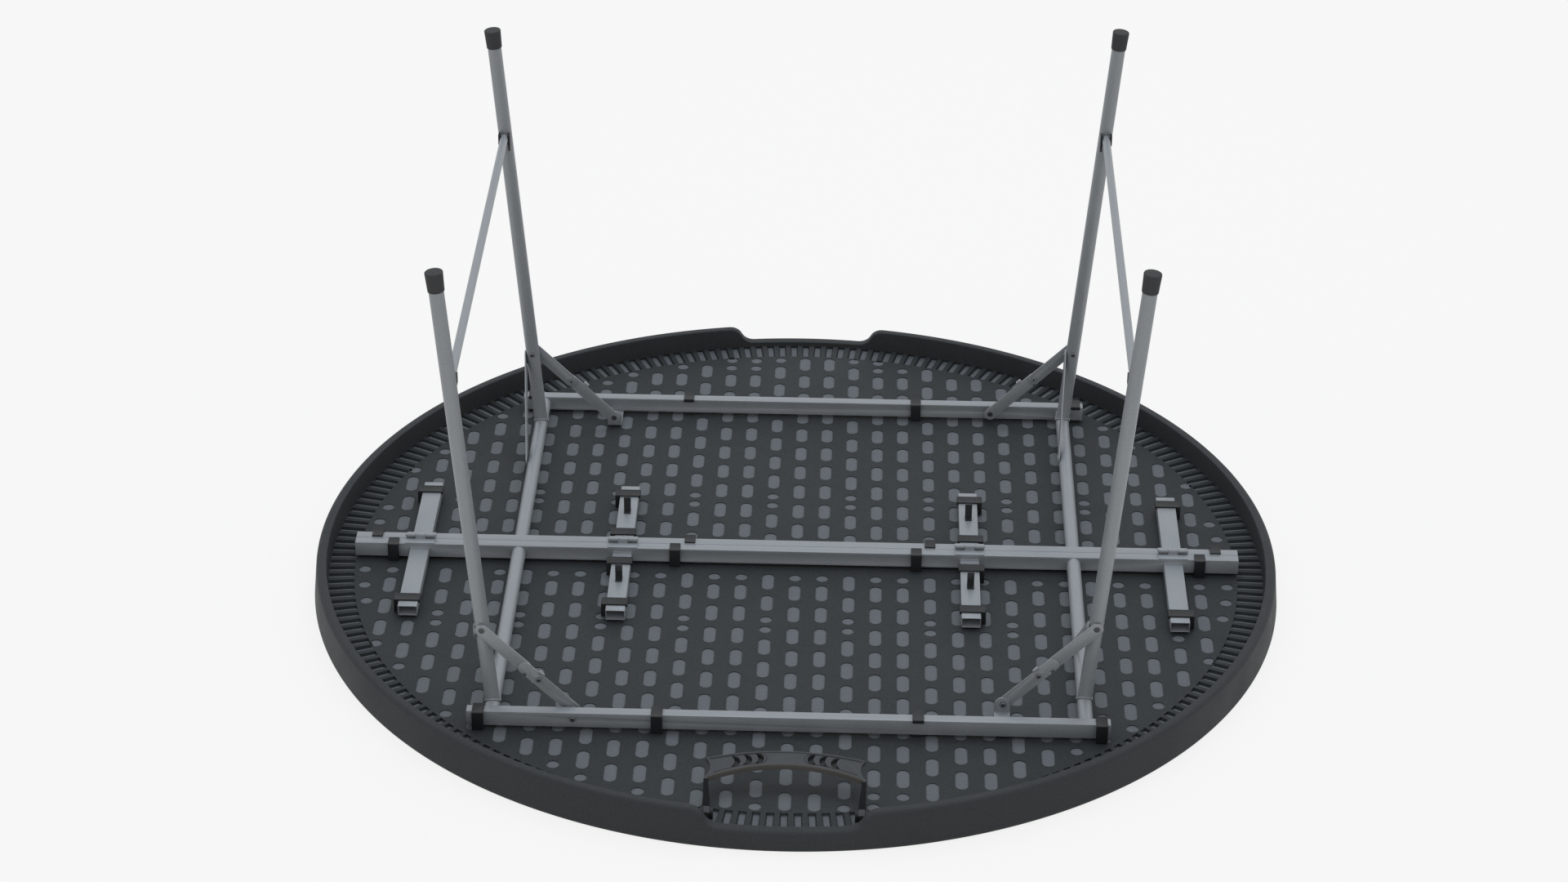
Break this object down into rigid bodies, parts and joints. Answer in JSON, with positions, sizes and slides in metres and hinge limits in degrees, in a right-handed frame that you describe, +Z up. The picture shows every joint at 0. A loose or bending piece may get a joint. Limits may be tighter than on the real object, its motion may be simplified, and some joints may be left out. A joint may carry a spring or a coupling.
{
  "type": "folding table",
  "caption": "Round folding table that folds in half, stored upside down on its top with its four hinged legs up and a carry handle.",
  "frame": {"origin": "centre of the round tabletop's face, on the surface that the upside-down table lies on", "axes": "+X along the fold line to the right, +Y from the handle side to the far half, +Z up towards the feet"},
  "size_m": [1.5328, 1.5324, 0.7609],
  "materials": {
    "steel": "grey powder coat with a fine grain",
    "shell": "charcoal moulded plastic with a fine grain",
    "deck": "charcoal moulded plastic, pierced",
    "inner_sheet": "mid-grey moulded plastic",
    "clip": "black moulded plastic",
    "foot_cap": "dull black rubber",
    "handle": "charcoal moulded plastic"
  },
  "bodies": {
    "back_half": {"back_top": "shell", "back_inner_sheet": "inner_sheet", "back_deck": "deck", "back_outer_rail": "steel", "back_center_rail": "steel", "back_channels": "steel", "back_rail_clips": "clip", "back_center_clips": "clip", "back_channel_clips": "clip", "back_latch_hooks": "clip", "back_hinge_leaves": "steel", "back_brace_bracket": "steel", "hinge_pins": "steel"},
    "front_half": {"front_top": "shell", "front_inner_sheet": "inner_sheet", "front_deck": "deck", "front_outer_rail": "steel", "front_center_rail": "steel", "front_channels": "steel", "front_rail_clips": "clip", "front_center_clips": "clip", "front_channel_clips": "clip", "front_latch_hooks": "clip", "front_hinge_leaves": "steel", "front_brace_bracket": "steel", "handle_brackets": "clip", "handle_pins": "steel"},
    "leg_assembly_bl": {"leg_bl": "steel", "cross_tube_bl": "steel", "foot_cap_bl": "foot_cap", "gusset_bl": "steel"},
    "upper_link_bl": {"brace_upper_bl": "steel"},
    "lower_link_bl": {"brace_lower_bl": "steel"},
    "leg_assembly_br": {"leg_br": "steel", "cross_tube_br": "steel", "foot_cap_br": "foot_cap", "gusset_br": "steel"},
    "upper_link_br": {"brace_upper_br": "steel"},
    "lower_link_br": {"brace_lower_br": "steel"},
    "leg_assembly_fl": {"leg_fl": "steel", "cross_tube_fl": "steel", "foot_cap_fl": "foot_cap", "gusset_fl": "steel", "stretcher_hook_left": "clip"},
    "upper_link_fl": {"brace_upper_fl": "steel"},
    "lower_link_fl": {"brace_lower_fl": "steel"},
    "leg_assembly_fr": {"leg_fr": "steel", "cross_tube_fr": "steel", "foot_cap_fr": "foot_cap", "gusset_fr": "steel", "stretcher_hook_right": "clip"},
    "upper_link_fr": {"brace_upper_fr": "steel"},
    "lower_link_fr": {"brace_lower_fr": "steel"},
    "left_stretcher": {"stretcher_left": "steel", "stretcher_clip_left": "clip"},
    "right_stretcher": {"stretcher_right": "steel", "stretcher_clip_right": "clip"},
    "carry_handle": {"handle": "handle"}
  },
  "joints": [
    {"name": "half_fold", "type": "hinge", "parent": "back_half", "child": "front_half", "pos_m": [0, 0, 0.0605], "axis": [-1, 0, 0], "range_deg": [0, 145]},
    {"name": "leg_fold_bl", "type": "hinge", "parent": "back_half", "child": "leg_assembly_bl", "pos_m": [-0.4425, 0, 0.04255], "axis": [0, 1, 0], "range_deg": [0, 95]},
    {"name": "upper_link_fold_bl", "type": "hinge", "parent": "leg_assembly_bl", "child": "upper_link_bl", "pos_m": [-0.45427, 0, 0.17704], "axis": [0, -1, 0], "range_deg": [0, 140.92]},
    {"name": "lower_link_fold_bl", "type": "hinge", "parent": "back_half", "child": "lower_link_bl", "pos_m": [-0.32, 0, 0.04455], "axis": [0, 1, 0], "range_deg": [0, 135.38]},
    {"name": "leg_fold_br", "type": "hinge", "parent": "back_half", "child": "leg_assembly_br", "pos_m": [0.4425, 0, 0.04255], "axis": [0, -1, 0], "range_deg": [0, 95]},
    {"name": "upper_link_fold_br", "type": "hinge", "parent": "leg_assembly_br", "child": "upper_link_br", "pos_m": [0.45427, 0, 0.17704], "axis": [0, 1, 0], "range_deg": [0, 140.92]},
    {"name": "lower_link_fold_br", "type": "hinge", "parent": "back_half", "child": "lower_link_br", "pos_m": [0.32, 0, 0.04455], "axis": [0, -1, 0], "range_deg": [0, 135.38]},
    {"name": "leg_fold_fl", "type": "hinge", "parent": "front_half", "child": "leg_assembly_fl", "pos_m": [-0.4425, 0, 0.04255], "axis": [0, 1, 0], "range_deg": [0, 95]},
    {"name": "upper_link_fold_fl", "type": "hinge", "parent": "leg_assembly_fl", "child": "upper_link_fl", "pos_m": [-0.45427, 0, 0.17704], "axis": [0, -1, 0], "range_deg": [0, 140.92]},
    {"name": "lower_link_fold_fl", "type": "hinge", "parent": "front_half", "child": "lower_link_fl", "pos_m": [-0.32, 0, 0.04455], "axis": [0, 1, 0], "range_deg": [0, 135.38]},
    {"name": "leg_fold_fr", "type": "hinge", "parent": "front_half", "child": "leg_assembly_fr", "pos_m": [0.4425, 0, 0.04255], "axis": [0, -1, 0], "range_deg": [0, 95]},
    {"name": "upper_link_fold_fr", "type": "hinge", "parent": "leg_assembly_fr", "child": "upper_link_fr", "pos_m": [0.45427, 0, 0.17704], "axis": [0, 1, 0], "range_deg": [0, 140.92]},
    {"name": "lower_link_fold_fr", "type": "hinge", "parent": "front_half", "child": "lower_link_fr", "pos_m": [0.32, 0, 0.04455], "axis": [0, -1, 0], "range_deg": [0, 135.38]},
    {"name": "left_stretcher_off", "type": "slide", "parent": "back_half", "child": "left_stretcher", "axis": [-0.6905, 0, -0.7234], "range_m": [0, 0.7603]},
    {"name": "right_stretcher_off", "type": "slide", "parent": "back_half", "child": "right_stretcher", "axis": [0.6905, 0, -0.7234], "range_m": [0, 0.7603]},
    {"name": "handle_swing", "type": "hinge", "parent": "front_half", "child": "carry_handle", "pos_m": [0, -0.717, 0.035], "axis": [1, 0, 0], "range_deg": [-12, 100]}
  ],
  "couplings": [
    {"joint": "leg_fold_bl", "follows": "half_fold", "ratio": 0.65484},
    {"joint": "upper_link_fold_bl", "follows": "half_fold", "ratio": 0.97137},
    {"joint": "lower_link_fold_bl", "follows": "half_fold", "ratio": 0.9332},
    {"joint": "leg_fold_br", "follows": "half_fold", "ratio": 0.65484},
    {"joint": "upper_link_fold_br", "follows": "half_fold", "ratio": 0.97137},
    {"joint": "lower_link_fold_br", "follows": "half_fold", "ratio": 0.9332},
    {"joint": "leg_fold_fl", "follows": "half_fold", "ratio": 0.65484},
    {"joint": "upper_link_fold_fl", "follows": "half_fold", "ratio": 0.97137},
    {"joint": "lower_link_fold_fl", "follows": "half_fold", "ratio": 0.9332},
    {"joint": "leg_fold_fr", "follows": "half_fold", "ratio": 0.65484},
    {"joint": "upper_link_fold_fr", "follows": "half_fold", "ratio": 0.97137},
    {"joint": "lower_link_fold_fr", "follows": "half_fold", "ratio": 0.9332},
    {"joint": "left_stretcher_off", "follows": "half_fold", "m_per_rad": 0.3003},
    {"joint": "right_stretcher_off", "follows": "half_fold", "m_per_rad": 0.3003}
  ]
}
